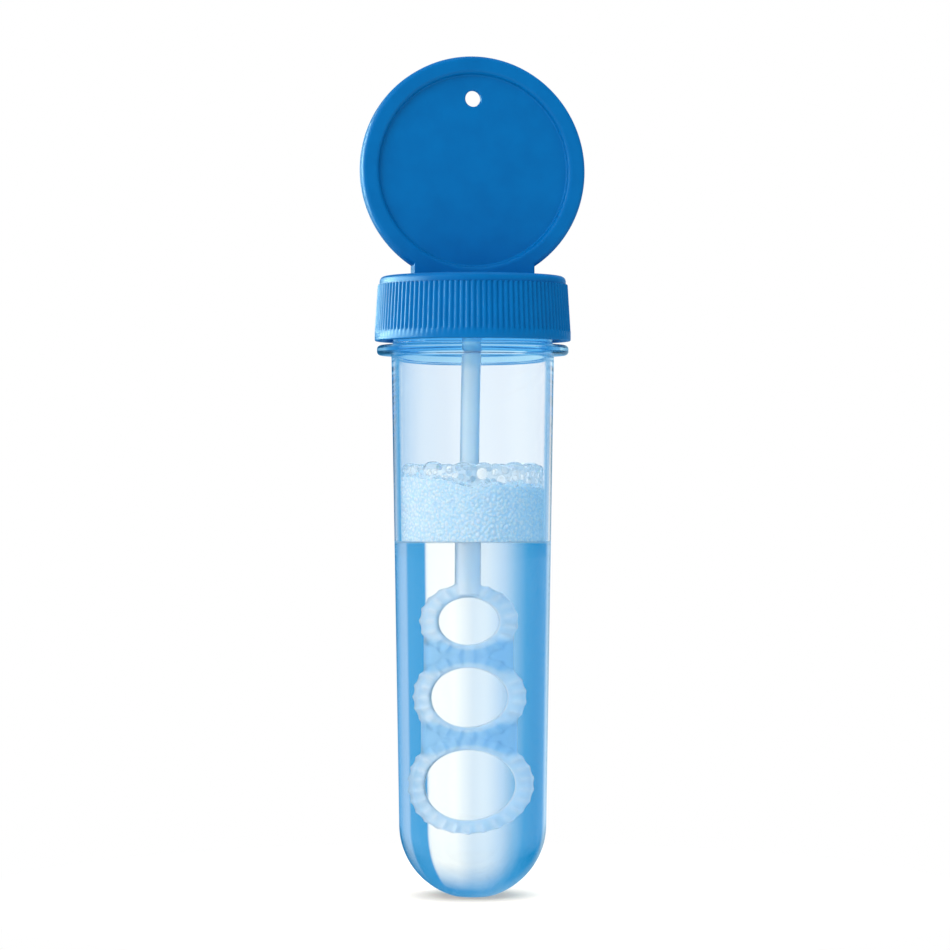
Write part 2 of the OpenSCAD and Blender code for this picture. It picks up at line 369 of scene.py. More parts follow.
def make_vial():
    """The clear vial with its round end, collar, threaded neck and mouth."""
    outer_lean = lean_on_ball(ROUND_R, ROUND_Z, TUBE_TOP_R, COLLAR_LOW_Z)
    inner_lean = lean_on_ball(INNER_R, INNER_Z, MOUTH_R, COLLAR_LOW_Z)
    foot_angle = math.degrees(math.atan2(-ROUND_Z, FOOT_R))
    rim_r = COLLAR_R - COLLAR_ROUND
    below = [(0, 0), (FOOT_R * 0.6, 0)]
    below += arc((0, ROUND_Z), ROUND_R, foot_angle, -outer_lean, BALL_STEPS)
    below += arc((TUBE_TOP_R + INNER_ROUND, COLLAR_LOW_Z - INNER_ROUND), INNER_ROUND, 180, 90, 5)
    below += arc((rim_r, COLLAR_LOW_Z + COLLAR_ROUND), COLLAR_ROUND, -90, 0)
    below += arc((rim_r, COLLAR_TOP_Z - COLLAR_ROUND), COLLAR_ROUND, 0, 90)
    below += arc((NECK_R + INNER_ROUND, COLLAR_TOP_Z + INNER_ROUND), INNER_ROUND, 270, 180, 5)
    neck_low = (NECK_R, COLLAR_TOP_Z + 2 * INNER_ROUND)
    neck = straight(neck_low, (NECK_R, VIAL_H - 2 * LIP_ROUND), NECK_STEPS)
    above = arc((NECK_R - LIP_ROUND, VIAL_H - LIP_ROUND), LIP_ROUND, 0, 90, 5)
    above += arc((MOUTH_R + LIP_ROUND, VIAL_H - LIP_ROUND), LIP_ROUND, 90, 180, 5)
    above += [(MOUTH_R, COLLAR_LOW_Z)]
    above += arc((0, INNER_Z), INNER_R, -inner_lean, -90, BALL_STEPS)[:-1]
    above += [(0, FLOOR_T)]

    def relief(i, angles):
        level = i - len(below)
        if 0 <= level < len(neck):
            return ridge(angles, neck[level][1], NECK_RIDGE_Z, NECK_TURNS, NECK_RIDGE_H)
        return np.zeros_like(angles)

    return revolve("vial_shell", below + neck + above, VIAL_SEGMENTS, relief)


def make_liquid():
    """The soap solution, which runs a hair into the wall so that light crosses both surfaces as one."""
    ball_r = INNER_R + LIQUID_BITE
    lean = lean_on_ball(ball_r, INNER_Z, MOUTH_R + LIQUID_BITE, COLLAR_LOW_Z)
    outline = [(0, INNER_Z - ball_r)]
    outline += arc((0, INNER_Z), ball_r, -90, -lean, BALL_STEPS)[1:]
    top_r = inner_wall_r(FILL_Z) + LIQUID_BITE
    outline += [(top_r, FILL_Z), (top_r * 0.5, FILL_Z), (0, FILL_Z)]
    return revolve("liquid", outline, VIAL_SEGMENTS)


def scatter(rng, width, height, size_at, tries, wrap):
    """Circles packed in a strip, as (x, y, radius) rows. A wrapped strip meets itself."""
    cell = 1.0
    near = range(-3, 4)
    found = []
    grid = {}
    for _ in range(tries):
        x, y = rng.uniform(0, width), rng.uniform(0, height)
        smallest, largest = size_at(x, y)
        if largest <= 0:
            continue
        r = smallest + (largest - smallest) * rng.random() ** 2
        free = True
        for i in near:
            for j in near:
                for u, v, s in grid.get((int(x // cell) + i, int(y // cell) + j), ()):
                    if math.hypot(u - x, v - y) < (r + s) * BUBBLE_NEAREST:
                        free = False
        if not free:
            continue
        found.append((x, y, r))
        for shift in (-width, 0, width) if wrap else (0,):
            key = (int((x + shift) // cell), int(y // cell))
            grid.setdefault(key, []).append((x + shift, y, r))
    return found


def domes(x, y, bubbles, width=None):
    """How far each point is up a bubble's round top, as a share of its radius, and that radius."""
    share = np.zeros_like(x)
    radius = np.full_like(x, FINE_BUBBLE[0])
    for u, v, r in bubbles:
        dx = np.abs(x - u)
        if width:
            dx = np.minimum(dx, width - dx)
        d2 = (dx**2 + (y - v) ** 2) / r**2
        rise = np.sqrt(np.clip(1 - d2, 0, 1))
        higher = rise > share
        share[higher] = rise[higher]
        radius[higher] = r
    return share, radius


def fine_top(angles):
    """Height of the fine froth at each angle: it slants and undulates."""
    waves = sum(height * np.sin(count * angles + phase) for height, count, phase in FINE_WAVES)
    return FROTH_TOP_Z - FINE_DIP + FINE_SLANT * np.cos(angles - FINE_HIGH_SIDE) + waves


def level_top(angles):
    """Height of the clear froth at each angle: it is level."""
    return angles * 0 + FROTH_TOP_Z


def make_froth(name, gap, low_z, top_at, wall, top, low, seed):
    """Froth up to a height at each angle, with bubbles at the wall and round tops above and below.

    wall, top and low are the smallest and largest radius of those bubbles. The attribute "film" is 0 on
    the middle of a bubble and 1 between bubbles.
    """
    rng = random.Random(seed)
    angles = np.arange(FROTH_SEGMENTS) * TURN / FROTH_SEGMENTS
    foot_z = low_z + low[1] * LOW_DOME
    edge_z = top_at(angles) - top[1] * TOP_DOME
    middle_z = edge_z.mean()
    mean_r = inner_wall_r((low_z + middle_z) / 2)
    around = TURN * mean_r

    def over_disc(sizes):
        def size_at(x, y):
            return sizes if math.hypot(x - mean_r, y - mean_r) < mean_r - DISC_EDGE else NO_BUBBLE

        return scatter(rng, 2 * mean_r, 2 * mean_r, size_at, DISC_TRIES, False)

    wall_bubbles = scatter(rng, around, edge_z.max() - low_z, lambda x, y: wall, WALL_TRIES, True)
    top_bubbles = over_disc(top)
    low_bubbles = over_disc(low)
    rings = [[(0, 0, low_z)]]
    films = [[0.0]]

    def add_flat(share, z, inset, bubbles, lift):
        r = share * (inner_wall_r(z) - gap - inset)
        x, y = r * np.cos(angles), r * np.sin(angles)
        rise, size = domes(x + mean_r, y + mean_r, bubbles)
        rings.append(np.column_stack((x, y, z + lift * rise * size)))
        films.append(1 - rise)

    shares = np.linspace(1, 0, FROTH_CIRCLES + 1)[:-1]
    for share in shares[::-1]:
        add_flat(share, np.full(FROTH_SEGMENTS, foot_z), LOW_INSET, low_bubbles, -LOW_DOME)
    for share in np.linspace(0, 1, FROTH_LEVELS):
        z = foot_z + share * (edge_z - foot_z)
        rise, size = domes(angles / TURN * around, z - low_z, wall_bubbles, around)
        r = inner_wall_r(z) - gap - (1 - rise) * np.minimum(size, DEEPEST_FILM) * FROTH_RELIEF
        rings.append(np.column_stack((r * np.cos(angles), r * np.sin(angles), z)))
        films.append(1 - rise)
    for share in shares:
        add_flat(share, share * edge_z + (1 - share) * middle_z, TOP_INSET, top_bubbles, TOP_DOME)
    rings.append([(0, 0, middle_z)])
    films.append([0.0])
    froth = skin(name, rings, sharp=180)
    film = froth.data.attributes.new("film", "FLOAT", "POINT")
    film.data.foreach_set("value", np.concatenate(films).astype(np.float32))
    return froth


def make_liner():
    """The sealing washer, with soft edges."""
    hole_r = BOSS_R + LINER_HOLE_ROOM
    edge = LINER_EDGE
    low, top = liner_low.z, liner_high.z
    outline = arc((LINER_R - edge, low + edge), edge, -90, 0, 4)
    outline += arc((LINER_R - edge, top - edge), edge, 0, 90, 4)
    outline += arc((hole_r + edge, top - edge), edge, 90, 180, 4)
    outline += arc((hole_r + edge, low + edge), edge, 180, 270, 4)
    return revolve("liner_washer", outline, LINER_SEGMENTS, loop=True)


def make_cap():
    """The ribbed cap with its thread, boss and socket inside."""
    boss_low = CAP_UNDER_Z - BOSS_L
    ring_low = CAP_TOP_Z - TOP_RING_H
    band_top = CAP_LOW_Z + BAND_H
    rib_top_r = BAND_R - CAP_LEAN
    ring_r = rib_top_r - TOP_RING_STEP
    inside = [(0, STEM_TOP_Z), (SOCKET_R, STEM_TOP_Z), (SOCKET_R, boss_low)]
    inside += arc((BOSS_R - BOSS_ROUND, boss_low + BOSS_ROUND), BOSS_ROUND, -90, 0, 4)
    inside += arc((BOSS_R + INNER_ROUND, CAP_UNDER_Z - INNER_ROUND), INNER_ROUND, 180, 90, 4)
    inside += [(CAP_BORE_R, CAP_UNDER_Z)]
    bore_top = (CAP_BORE_R, CAP_UNDER_Z - BORE_TOP_GAP)
    bore = straight(bore_top, (CAP_BORE_R, CAP_LOW_Z + BAND_ROUND), BORE_STEPS)
    band = arc((CAP_BORE_R + BAND_ROUND, CAP_LOW_Z + BAND_ROUND), BAND_ROUND, 180, 270, 4)
    band += arc((BAND_R - BAND_ROUND, CAP_LOW_Z + BAND_ROUND), BAND_ROUND, -90, 0, 4)
    ribs = straight((BAND_R, band_top), (rib_top_r, ring_low), RIB_STEPS)
    top = [(rib_top_r - RING_EDGE[0], ring_low + RING_EDGE[1])]
    top += [(ring_r, ring_low + RING_FOOT_Z), (ring_r, ring_low + RING_FOOT_TOP_Z)]
    top += arc((ring_r - CAP_ROUND, CAP_TOP_Z - CAP_ROUND), CAP_ROUND, 0, 90)
    top += [(TAG_FOOT_W / 4, CAP_TOP_Z), (0, CAP_TOP_Z)]
    bore_from = len(inside)
    ribs_from = bore_from + len(bore) + len(band)

    def relief(i, angles):
        level = i - bore_from
        if 0 <= level < len(bore):
            return -ridge(angles, bore[level][1], CAP_RIDGE_Z, CAP_TURNS, CAP_RIDGE_H)
        level = i - ribs_from
        if 0 <= level < len(ribs):
            up = (ribs[level][1] - band_top) / GROOVE_END
            open_share = min(1, up)
            off = (angles * GROOVES / TURN + 0.5) % 1 - 0.5
            return -GROOVE_DEPTH * math.sqrt(open_share) * np.exp(-((off / GROOVE_SHARE) ** 2))
        return np.zeros_like(angles)

    outline = inside + bore + band + ribs + top
    return revolve("cap_shell", outline, GROOVES * GROOVE_SEGMENTS, relief, sharp=55)


def block(name, low, high, rounding):
    """A box with rounded edges."""
    low, high = Vector(low) * MM, Vector(high) * MM
    mesh = bpy.data.meshes.new(name)
    work = bmesh.new()
    bmesh.ops.create_cube(work, size=1)
    for vert in work.verts:
        vert.co = Vector(low[k] if vert.co[k] < 0 else high[k] for k in range(3))
    if rounding:
        bmesh.ops.bevel(work, geom=work.edges, offset=rounding * MM, segments=4, profile=0.5,
                        affect="EDGES")
    work.to_mesh(mesh)
    work.free()
    close_mesh(mesh)
    made = bpy.data.objects.new(name, mesh)
    bpy.context.scene.collection.objects.link(made)
    return made


def across(obj, z):
    """Turns a solid made about Z so that it lies across Y, at a height."""
    for vert in obj.data.vertices:
        x, y, up = vert.co
        vert.co = (x, -up, y + z * MM)
    return obj


def make_tag():
    """The round tag with its raised rim, recesses, hanging hole and foot."""
    half, web = TAG_T / 2, TAG_WEB_T / 2
    inner = RECESS_R + TAG_ROUND
    outer = TAG_R - TAG_ROUND
    side = [(RECESS_R * 0.5, web)]
    side += arc((RECESS_R - TAG_CREASE, web + TAG_CREASE), TAG_CREASE, 270, 360, 5)
    side += arc((inner, half - TAG_ROUND), TAG_ROUND, 180, 90, 6)
    side += arc((outer, half - TAG_ROUND), TAG_ROUND, 90, 0, 8)
    outline = [(0, web)] + side + [(r, -y) for r, y in side[::-1]] + [(0, -web)]
    tag = across(revolve("tag", outline, TAG_SEGMENTS), TAG_Z)
    foot_half = half - TAG_FOOT_SINK
    foot_top = TAG_Z - RECESS_R + TAG_FOOT_RISE
    foot_corner = (TAG_FOOT_W / 2, foot_half, foot_top)
    foot = block("foot", (-TAG_FOOT_W / 2, -foot_half, CAP_TOP_Z - 1), foot_corner, TAG_FOOT_ROUND)
    dish = [(0, -TAG_T), (inner, -TAG_T), (inner, TAG_T), (0, TAG_T)]
    combine(foot, across(revolve("dish", dish, TAG_SEGMENTS), TAG_Z), "DIFFERENCE")
    combine(tag, foot, "UNION")
    below = block("below", (-TAG_R, -TAG_T, CAP_TOP_Z - TAG_R), (TAG_R, TAG_T, CAP_TOP_Z), 0)
    combine(tag, below, "DIFFERENCE")
    edge = HANG_HOLE_ROUND
    hole = [(0, -TAG_T), (HANG_HOLE_R + edge, -TAG_T)]
    hole += arc((HANG_HOLE_R + edge, -web + edge), edge, 270, 180, 5)
    hole += arc((HANG_HOLE_R + edge, web - edge), edge, 180, 90, 5)
    hole += [(HANG_HOLE_R + edge, TAG_T), (0, TAG_T)]
    combine(tag, across(revolve("hole", hole, HOLE_SEGMENTS), HANG_HOLE_Z), "DIFFERENCE")
    close_mesh(tag.data, 50)
    even = tag.modifiers.new("even", "WEIGHTED_NORMAL")
    even.keep_sharp = True
    return tag


def make_loop(hole_d, z):
    """One loop of the wand: a ring with a smooth inner lip and rounded ribs over its faces and edge."""
    inner, outer = hole_d / 2, hole_d / 2 + RING_W
    count = round(math.pi * (hole_d + RING_W) / RIB_PITCH)
    half = RING_T / 2
    section = arc((outer - RING_ROUND, -half + RING_ROUND), RING_ROUND, -90, 0, 4)
    section += arc((outer - RING_ROUND, half - RING_ROUND), RING_ROUND, 0, 90, 4)
    lip = RING_LIP_ROUND
    section += [(inner + RING_LIP + RIB_FULL, half), (inner + RING_LIP + RIB_START, half)]
    section += arc((inner + lip, half - lip), lip, 90, 180, 4)
    section += arc((inner + lip, -half + lip), lip, 180, 270, 4)
    section += [(inner + RING_LIP + RIB_START, -half), (inner + RING_LIP + RIB_FULL, -half)]
    segments = count * LOOP_RIB_SEGMENTS
    angles = np.arange(segments) * TURN / segments
    off = (angles * count / TURN) % 1 - 0.5
    rib = np.exp(-((off / RIB_SHARE) ** 2))
    rings = []
    for r, y in section:
        on_ribs = min(1, max(0, (r - inner - RING_LIP) / RIB_RAMP))
        lift = 1 + RIB_H / half * on_ribs * rib
        radii = r + RIB_OUT * on_ribs * rib * (r > outer - RING_ROUND)
        rings.append(np.column_stack((radii * np.cos(angles), y * lift, z + radii * np.sin(angles))))
    return skin("loop", rings, loop=True)


def mark_painted_shade(mesh, heights):
    """Says at each point how much painted shade the wand gets.

    The painted shade is a deeper blue that stands in for shade and for the blue seen through the plastic.
    It is 1 on the webs, less on the stem and between the ribs, and 0 on the ribs' crests.
    """
    count = len(mesh.vertices)
    place, normal = np.empty(count * 3), np.empty(count * 3)
    mesh.vertices.foreach_get("co", place)
    mesh.vertices.foreach_get("normal", normal)
    x, y, z = place.reshape(-1, 3).T / MM
    loops = list(zip(heights, LOOP_DIAMETERS))
    past_hole = np.min([np.hypot(x, z - h) - d / 2 for h, d in loops], axis=0)
    web = np.zeros(count)
    for width, (high, high_d), (low, low_d) in zip(WEB_WIDTHS, loops, loops[1:]):
        hole_top, hole_foot = low + low_d / 2, high - high_d / 2
        reach = (hole_foot - hole_top) / 2 + WEB_REACH - np.abs(z - (hole_foot + hole_top) / 2)
        aside = width / 2 + WEB_SIDE - np.abs(x)
        web += np.clip(reach / WEB_FADE, 0, 1) * np.clip(aside / WEB_SIDE_FADE, 0, 1)
    web *= np.clip((past_hole - LIP_CLEARANCE) / LIP_FADE, 0, 1)
    on_face = np.abs(normal.reshape(-1, 3)[:, 1]) > 0.5
    crest = RIB_H * CREST_SHARE
    groove = GROOVE_SHADE * np.clip((RING_T / 2 + crest - np.abs(y)) / crest, 0, 1) * on_face
    groove *= past_hole < RING_W
    stem = np.clip(z - heights[0] - LOOP_DIAMETERS[0] / 2 - RING_W, 0, 1)
    stem *= np.interp(z, (FILL_Z, FROTH_TOP_Z), (STEM_SHADE_LOW, STEM_SHADE_HIGH))
    painted_shade = np.max([web, groove, stem], axis=0).astype(np.float32)
    mesh.attributes.new("painted_shade", "FLOAT", "POINT").data.foreach_set("value", painted_shade)


def make_wand():
    """The wand: stem, three loops and the webs between them, fused as one moulding."""
    loop_radii = [d / 2 + RING_W for d in LOOP_DIAMETERS]
    heights = [WAND_LOW_Z + RIB_OUT + loop_radii[2]]
    heights.insert(0, heights[0] + loop_radii[2] + loop_radii[1] - LOOP_MERGE)
    heights.insert(0, heights[0] + loop_radii[1] + loop_radii[0] - LOOP_MERGE)
    parts = [make_loop(d, z) for d, z in zip(LOOP_DIAMETERS, heights)]
    low = heights[0] + LOOP_DIAMETERS[0] / 2 + STEM_BITE
    outline = [(0, low), (STEM_R, low), (STEM_R, STEM_TOP_Z - STEM_EDGE)]
    outline += [(STEM_R - STEM_EDGE, STEM_TOP_Z), (0, STEM_TOP_Z)]
    parts.append(revolve("stem", outline, STEM_SEGMENTS))
    holes = []
    past = WEB_CUT_HALF_L
    for hole_d, z in zip(LOOP_DIAMETERS, heights):
        r = hole_d / 2 + WEB_CUT
        hole = revolve("hole", [(0, -past), (r, -past), (r, past), (0, past)], LOOP_HOLE_SEGMENTS)
        holes.append(across(hole, z))
    for width, low, high, holes_near in zip(WEB_WIDTHS, heights[1:], heights, ((1, 0), (2, 1))):
        web = block("web", (-width / 2, -WEB_T / 2, low), (width / 2, WEB_T / 2, high), WEB_ROUND)
        for k in holes_near:
            cut = holes[k].copy()
            bpy.context.scene.collection.objects.link(cut)
            combine(web, cut, "DIFFERENCE")
        parts.append(web)
    for hole in holes:
        bpy.data.objects.remove(hole)
    work = bmesh.new()
    for part in parts:
        work.from_mesh(part.data)
        bpy.data.objects.remove(part)
    mesh = bpy.data.meshes.new("wand_moulding")
    work.to_mesh(mesh)
    work.free()
    wand = bpy.data.objects.new("wand_moulding", mesh)
    bpy.context.scene.collection.objects.link(wand)
    fuse = wand.modifiers.new("fuse", "REMESH")
    fuse.mode = "VOXEL"
    fuse.voxel_size = WAND_VOXEL * MM
    soften = wand.modifiers.new("soften", "SMOOTH")
    soften.factor = 0.5
    soften.iterations = 4
    settle(wand)
    mark_painted_shade(wand.data, heights)
    boss_low = (CAP_UNDER_Z - BOSS_L) * MM
    # The stem is set a little to one side below the boss
    for vert in wand.data.vertices:
        hang = max(0, boss_low - vert.co.z) / MM
        vert.co.x -= WAND_SET * MM * (1 - math.exp(-hang / WAND_SET_REACH))
    close_mesh(wand.data, 180)
    return wand


class Nodes:
    """A small helper that adds nodes to a tree and links them."""

    def __init__(self, tree):
        self.tree = tree
        tree.nodes.clear()

    def add(self, kind, values=None, **settings):
        made = self.tree.nodes.new("ShaderNode" + kind)
        for name, value in settings.items():
            setattr(made, name, value)
        for name, value in (values or {}).items():
            socket = made.inputs[name]
            if isinstance(value, bpy.types.NodeSocket):
                self.tree.links.new(value, socket)
            else:
                socket.default_value = value
        return made

    def ramp(self, factor, stops):
        """A colour ramp with (place, colour) stops."""
        made = self.add("ValToRGB", {"Fac": factor})
        bands = made.color_ramp.elements
        while len(bands) > 1:
            bands.remove(bands[-1])
        for k, (place, colour) in enumerate(stops):
            band = bands[0] if k == 0 else bands.new(place)
            band.position = place
            band.color = (*colour, 1)
        return made.outputs["Color"]

    def mix(self, factor, first, second):
        """A colour between two."""
        made = self.add("Mix", data_type="RGBA")
        for name, value in (("Factor", factor), ("A", first), ("B", second)):
            socket = next(s for s in made.inputs if s.name == name and s.enabled)
            if isinstance(value, bpy.types.NodeSocket):
                self.tree.links.new(value, socket)
            else:
                socket.default_value = value
        return next(s for s in made.outputs if s.enabled)

    def spread(self, value, low, high):
        """A value from 0 to 1 brought between two others."""
        made = self.add("MapRange", {"Value": value, "To Min": low, "To Max": high})
        return made.outputs["Result"]


def new_material(name):
    """A material with an empty node tree."""
    material = bpy.data.materials.new(name)
    material.use_nodes = True
    return material, Nodes(material.node_tree)


def noise(nodes, place, scale, detail=3.0):
    """Noise over a place, with the scale in features to the metre."""
    return nodes.add("TexNoise", {"Vector": place, "Scale": scale, "Detail": detail}).outputs["Fac"]


# Roughness of level faces, and how many millimetres a band of painted colour takes to come in
MATT = 0.9
PAINTED_BAND_FADE = 0.2


def plastic(name, light, dark, rough, grain):
    """Satin moulded plastic: faint flow marks, an uneven sheen, a fine grain and matt level faces."""
    material, nodes = new_material(name)
    coords = nodes.add("TexCoord")
    place = coords.outputs["Object"]
    flow = noise(nodes, place, 260)
    fine = noise(nodes, place, 5200)
    bump = nodes.add("Bump", {"Height": fine, "Strength": grain, "Distance": 0.00004})
    upward = nodes.add("SeparateXYZ", {"Vector": coords.outputs["Normal"]}).outputs["Z"]
    level = nodes.add("MapRange", {"Value": upward, "From Min": 0.8, "From Max": 0.98})
    satin = nodes.spread(fine, rough - 0.05, rough + 0.07)
    shader = nodes.add("BsdfPrincipled", {
        "Base Color": nodes.ramp(flow, ((0.3, dark), (0.7, light))),
        "Roughness": nodes.spread(level.outputs["Result"], satin, MATT),
        "Normal": bump.outputs["Normal"],
        "Specular IOR Level": 0.12,
        "IOR": 1.49,
    })
    nodes.add("OutputMaterial", {"Surface": shader.outputs["BSDF"]})
    return material


def clear(name, light, dark, ior, shade, absorbs, density, filmy=False, painted_bands=()):
    """Clear plastic, film or liquid that lets the lamps' light through, with an uneven polish.

    absorbs and density tint it by its depth. Its (height, colour) bands paint it from there up,
    a painted colour that stands in for the shade and blue seen through it.
    Where it is filmy, the attribute "film" says where it is milky: whiter where bubbles meet, partly the
    borders' own milkiness and partly painted highlight.
    """
    material, nodes = new_material(name)
    place = nodes.add("TexCoord").outputs["Object"]
    stretch = nodes.add("Mapping", {"Vector": place, "Scale": (1, 1, 0.12)}).outputs["Vector"]
    streak = noise(nodes, stretch, 420)
    speck = noise(nodes, place, 900)
    passed = 1.0
    if filmy:
        # Where bubbles meet the film turns milky white: partly their own milkiness, partly a painted
        # highlight
        film = nodes.add("Attribute", attribute_name="film").outputs["Fac"]
        passed = nodes.spread(nodes.ramp(film, ((0.3, (0, 0, 0)), (0.8, (1, 1, 1)))), 0.97, 0.5)
    colour = nodes.ramp(streak, ((0.25, dark), (0.75, light)))
    height = nodes.add("SeparateXYZ", {"Vector": place}).outputs["Z"]
    # Painted colour by height, standing in for shade and blue seen through the glass
    for level, tint in painted_bands:
        ends = {"From Min": level * MM, "From Max": (level + PAINTED_BAND_FADE) * MM}
        past = nodes.add("MapRange", {"Value": height, **ends})
        colour = nodes.mix(past.outputs["Result"], colour, (*tint, 1))
    shader = nodes.add("BsdfPrincipled", {
        "Base Color": colour,
        "Roughness": nodes.spread(speck, 0.0, 0.03),
        "Transmission Weight": passed,
        "IOR": ior,
    })
    lit = nodes.add("BsdfTransparent", {"Color": (*shade, 1)})
    path = nodes.add("LightPath")
    both = nodes.add("MixShader", {"Fac": path.outputs["Is Shadow Ray"]})
    nodes.tree.links.new(shader.outputs["BSDF"], both.inputs[1])
    nodes.tree.links.new(lit.outputs["BSDF"], both.inputs[2])
    depth = nodes.add("VolumeAbsorption", {"Color": (*absorbs, 1), "Density": density})
    nodes.add("OutputMaterial", {"Surface": both.outputs["Shader"], "Volume": depth.outputs["Volume"]})
    return material


def milky(name):
    """Natural moulded plastic that lets light through but blurs it, with painted shade in a deeper blue."""
    material, nodes = new_material(name)
    place = nodes.add("TexCoord").outputs["Object"]
    cloud = noise(nodes, place, 330)
    painted_shade = nodes.add("Attribute", attribute_name="painted_shade").outputs["Fac"]
    thick_shade = nodes.ramp(cloud, ((0.25, (0.94, 0.98, 1.0)), (0.75, (1.0, 1.0, 1.0))))
    fine = noise(nodes, place, 4200)
    bump = nodes.add("Bump", {"Height": fine, "Strength": 0.12, "Distance": 0.00004})
    shader = nodes.add("BsdfPrincipled", {
        # Painted shade: a deeper blue on the webs, between the ribs and on the stem, standing in for shade
        # and the blue seen through
        "Base Color": nodes.mix(painted_shade, thick_shade, (0.5, 0.75, 0.94, 1)),
        "Roughness": nodes.spread(fine, 0.3, 0.42),
        "Normal": bump.outputs["Normal"],
        "Transmission Weight": 0.6,
        "Subsurface Weight": 0.5,
        "Subsurface Radius": (0.8, 1.0, 1.2),
        "Subsurface Scale": 0.002,
        "IOR": 1.2,
    })
    nodes.add("OutputMaterial", {"Surface": shader.outputs["BSDF"]})
    return material


def frothy(name):
    """Wet froth: pale, soft and shiny, with finer bubbles between those that are modelled, and painted
    shade at their edges.
    """
    material, nodes = new_material(name)
    place = nodes.add("TexCoord").outputs["Object"]
    tall = nodes.add("Mapping", {"Vector": place, "Scale": (1, 1, 0.6)}).outputs["Vector"]
    voronoi = nodes.add("TexVoronoi", {"Vector": tall, "Scale": 1500.0}, feature="DISTANCE_TO_EDGE")
    cells = voronoi.outputs["Distance"]
    cloud = noise(nodes, tall, 700)
    # Painted shade: bluer at the edges of the finer cells and in the creases between the modelled bubbles
    films = nodes.ramp(cells, ((0.0, (0.55, 0.78, 0.95)), (0.14, (0.93, 0.97, 1.0))))
    bump = nodes.add("Bump", {"Height": cells, "Strength": 0.4, "Distance": 0.0002})
    film = nodes.add("Attribute", attribute_name="film").outputs["Fac"]
    between = nodes.ramp(film, ((0.45, (0, 0, 0)), (1.0, (1, 1, 1))))
    pale = nodes.mix(nodes.spread(cloud, 0.1, 0.8), films, (1.0, 1.0, 1.0, 1))
    shader = nodes.add("BsdfPrincipled", {
        "Base Color": nodes.mix(nodes.spread(between, 0.0, 0.4), pale, (0.5, 0.77, 0.96, 1)),
        "Roughness": nodes.spread(cells, 0.2, 0.45),
        "Normal": bump.outputs["Normal"],
        "Subsurface Weight": 0.3,
        "Subsurface Radius": (0.7, 1.0, 1.3),
        "Subsurface Scale": 0.001,
        "IOR": 1.2,
    })
    nodes.add("OutputMaterial", {"Surface": shader.outputs["BSDF"]})
    return material


def spongy(name):
    """White closed-cell foam sheet."""
    material, nodes = new_material(name)
    place = nodes.add("TexCoord").outputs["Object"]
    cells = nodes.add("TexVoronoi", {"Vector": place, "Scale": 3000.0}).outputs["Distance"]
    bump = nodes.add("Bump", {"Height": cells, "Strength": 0.4, "Distance": 0.0001})
    shade = nodes.ramp(cells, ((0.1, (0.95, 0.95, 0.94)), (0.7, (0.84, 0.85, 0.86))))
    shader = nodes.add("BsdfPrincipled", {
        "Base Color": shade,
        "Roughness": nodes.spread(cells, 0.65, 0.85),
        "Normal": bump.outputs["Normal"],
    })
    nodes.add("OutputMaterial", {"Surface": shader.outputs["BSDF"]})
    return material


def dress(piece, body, node_name, material):
    """Gives a piece its material and its body, and hides the CAD node that it stands for."""
    piece.data.materials.clear()
    piece.data.materials.append(material)
    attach(piece, body)
    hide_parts(node_name)
    return piece


# Painted blue on the vial's collar and neck, standing in for the cap's blue and shade seen through them
COLLAR_PAINTED_BLUE = (0.52, 0.81, 0.96)
NECK_PAINTED_BLUE = (0.3, 0.66, 0.92)
BLUE_LIGHT = (0.0, 0.165, 0.49)
BLUE_DARK = (0.0, 0.148, 0.45)
blue = plastic("blue_plastic", BLUE_LIGHT, BLUE_DARK, 0.36, 0.25)
painted_bands = ((COLLAR_LOW_Z, COLLAR_PAINTED_BLUE), (COLLAR_TOP_Z, NECK_PAINTED_BLUE))
vial_clear = clear("clear_tinted_plastic", (0.97, 0.99, 1.0), (0.94, 0.975, 1.0), 1.49, (0.9, 0.96, 0.99),
                   (0.07, 0.6, 0.89), 70, painted_bands=painted_bands)
soap_film = clear("soap_film", (1.0, 1.0, 1.0), (0.97, 0.99, 1.0), 1.08, (0.97, 0.99, 1.0),
                  (0.8, 0.9, 1.0), 3, filmy=True)
liquid_clear = clear("clear_liquid", (1.0, 1.0, 1.0), (0.98, 0.99, 1.0), 1.36, (0.98, 0.99, 1.0),
                     (0.3, 0.7, 0.95), 3)

dress(make_vial(), "vial", "vial", vial_clear)
dress(make_liquid(), "solution", "bubble_solution", liquid_clear)
fine_froth = make_froth("fine_froth", FROTH_GAP, FILL_Z - FROTH_SINK, fine_top, FINE_BUBBLE, LARGE_BUBBLE,
                        NO_BUBBLE, 7)
clear_froth = make_froth("clear_froth", CLEAR_GAP, FROTH_TOP_Z - CLEAR_DEPTH, level_top, LARGE_BUBBLE,
                         TOP_BUBBLE, MIDDLE_BUBBLE, 11)
dress(fine_froth, "solution", "foam_head", frothy("wet_froth"))
dress(clear_froth, "solution", "foam_head", soap_film)
liner = dress(make_liner(), "liner", "cap_liner", spongy("white_foam_sheet"))
cap = dress(make_cap(), "cap", "screw_cap", blue)
# Seen through the clear collar and neck, these two would turn them nearly black
liner.visible_transmission = False
cap.visible_transmission = False
tag = dress(make_tag(), "cap", "tag_disc", blue)
dress(make_wand(), "cap", "wand", milky("milky_plastic"))


